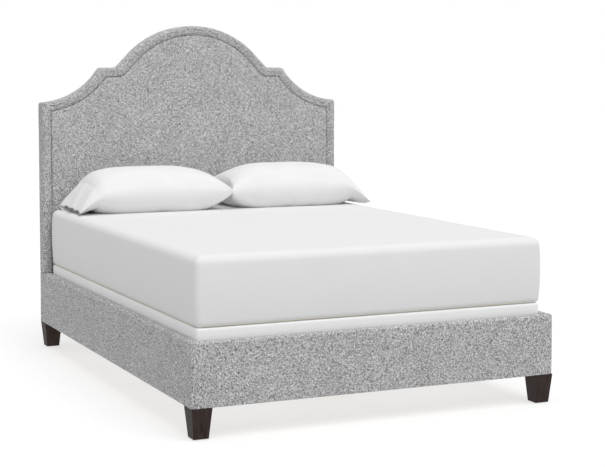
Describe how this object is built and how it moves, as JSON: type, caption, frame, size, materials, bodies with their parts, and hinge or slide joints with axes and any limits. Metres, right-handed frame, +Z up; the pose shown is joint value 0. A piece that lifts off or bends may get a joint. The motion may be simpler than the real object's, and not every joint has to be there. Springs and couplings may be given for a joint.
{
  "type": "upholstered bed",
  "caption": "Queen upholstered panel bed with arched camelback headboard, padded rails, tapered wood legs, slatted deck, box spring, mattress and pillows.",
  "frame": {"origin": "middle of the bed's footprint, on the floor", "axes": "+Y towards the headboard, +X to the right of someone lying on their back, +Z up"},
  "size_m": [1.602, 2.176, 1.605],
  "materials": {
    "upholstery": "heathered tweed weave",
    "foam": "open-cell foam",
    "plywood": "sanded plywood",
    "timber": "planed pine",
    "dark_wood": "espresso-stained satin",
    "zinc_steel": "zinc plated",
    "brass_insert": "turned",
    "glide_plastic": "matte",
    "box_spring_fabric": "woven ticking",
    "mattress_fabric": "knitted ticking",
    "sheet_cotton": "percale",
    "pillow_cotton": "percale",
    "pillow_ticking": "downproof ticking"
  },
  "bodies": {
    "frame": {"headboard_panel": "plywood", "headboard_edge_frame": "plywood", "headboard_post_left": "timber", "headboard_post_right": "timber", "headboard_cross_rails": "timber", "headboard_center_foam": "foam", "headboard_border_foam": "foam", "headboard_center_cover": "upholstery", "headboard_border_cover": "upholstery", "headboard_back_cover": "upholstery", "headboard_bolts": "zinc_steel", "side_rail_left_board": "timber", "side_rail_left_foam": "foam", "side_rail_left_cover": "upholstery", "side_rail_right_board": "timber", "side_rail_right_foam": "foam", "side_rail_right_cover": "upholstery", "foot_rail_board": "timber", "foot_rail_foam": "foam", "foot_rail_cover": "upholstery", "head_rail_board": "timber", "head_rail_cover": "upholstery", "slat_ledge_left": "timber", "slat_ledge_right": "timber", "corner_block_left": "timber", "corner_block_right": "timber", "head_brackets": "zinc_steel", "rail_screws": "zinc_steel", "slats": "timber", "deck_screws": "zinc_steel", "centre_beam": "timber", "beam_hangers": "zinc_steel", "centre_leg_foot": "timber", "centre_leg_head": "timber", "threaded_inserts": "brass_insert", "leg_foot_left": "dark_wood", "leg_foot_right": "dark_wood", "leg_head_left": "dark_wood", "leg_head_right": "dark_wood", "leg_bolts": "zinc_steel", "leg_glides": "glide_plastic"},
    "leveller_foot": {"leveller_foot": "zinc_steel"},
    "leveller_head": {"leveller_head": "zinc_steel"},
    "box_spring": {"box_spring_frame": "timber", "box_spring_spacers": "timber", "box_spring_slats": "timber", "box_spring_pad": "foam", "box_spring_cover": "box_spring_fabric"},
    "mattress": {"mattress_base_felt": "foam", "mattress_edge_foam": "foam", "mattress_pocket_rows": "mattress_fabric", "mattress_comfort_foam": "foam", "mattress_cover": "mattress_fabric", "fitted_sheet": "sheet_cotton"},
    "pillow_left": {"pillow_insert_left": "pillow_ticking", "pillowcase_left": "pillow_cotton"},
    "pillow_right": {"pillow_insert_right": "pillow_ticking", "pillowcase_right": "pillow_cotton"}
  },
  "joints": [
    {"name": "leveller_foot_screw", "type": "slide", "parent": "frame", "child": "leveller_foot", "axis": [0, 0, 1], "range_m": [-0.01, 0.01]},
    {"name": "leveller_head_screw", "type": "slide", "parent": "frame", "child": "leveller_head", "axis": [0, 0, 1], "range_m": [-0.01, 0.01]},
    {"name": "box_spring_lift", "type": "slide", "parent": "frame", "child": "box_spring", "axis": [0, 0, 1], "range_m": [0, 0.22]},
    {"name": "mattress_lift", "type": "slide", "parent": "box_spring", "child": "mattress", "axis": [0, 0, 1], "range_m": [0, 0.3]},
    {"name": "pillow_left_lift", "type": "slide", "parent": "mattress", "child": "pillow_left", "axis": [0, 0, 1], "range_m": [0, 0.3]},
    {"name": "pillow_right_lift", "type": "slide", "parent": "mattress", "child": "pillow_right", "axis": [0, 0, 1], "range_m": [0, 0.3]}
  ]
}
